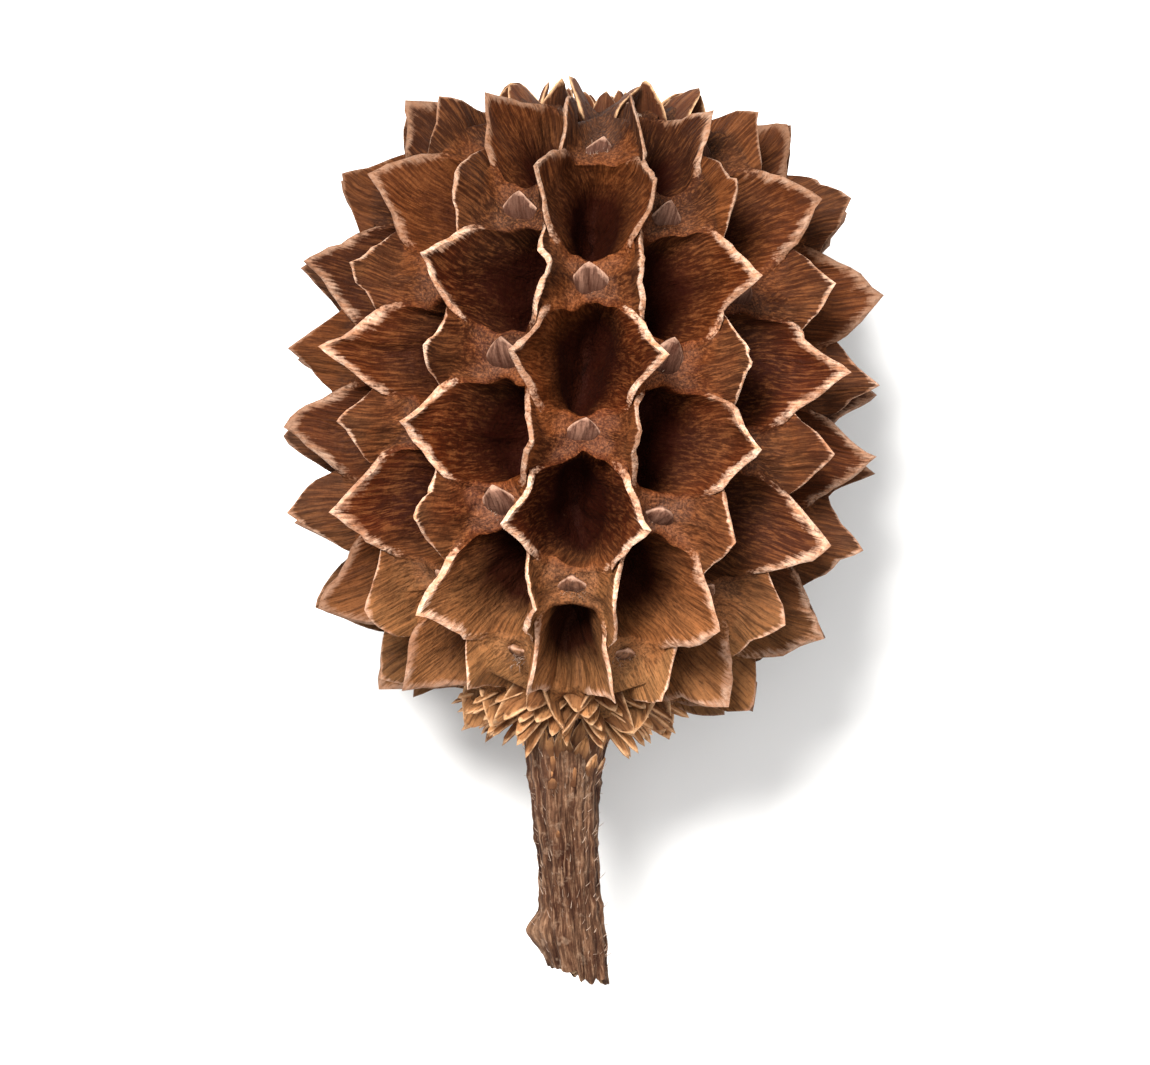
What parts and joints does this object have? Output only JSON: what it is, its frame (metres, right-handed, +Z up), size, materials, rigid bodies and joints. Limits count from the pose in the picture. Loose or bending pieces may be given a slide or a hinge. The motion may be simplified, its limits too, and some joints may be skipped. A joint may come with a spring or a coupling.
{
  "type": "casuarina cone",
  "caption": "Dry, opened casuarina cone: a woody barrel covered with gaping, pointed two-valved mouths, on a short rough stalk. It lies on its side on a small flat spot.",
  "frame": {"origin": "middle of the bounding box, on the surface that the cone rests on", "axes": "+Y along the cone's long axis from the stalk to the apex, +Z up, +X to the right when looking along +Y"},
  "size_m": [0.0132, 0.0198, 0.0127],
  "materials": {
    "cone_wood": "dry, matt, warm brown wood, near black deep in the mouths, with pale tan rims on the valves",
    "stalk_bark": "dull grey-brown ribbed bark with small tan scales at the top and a broken end"
  },
  "bodies": {
    "root": {"cone": "cone_wood", "stalk": "stalk_bark"}
  },
  "joints": []
}
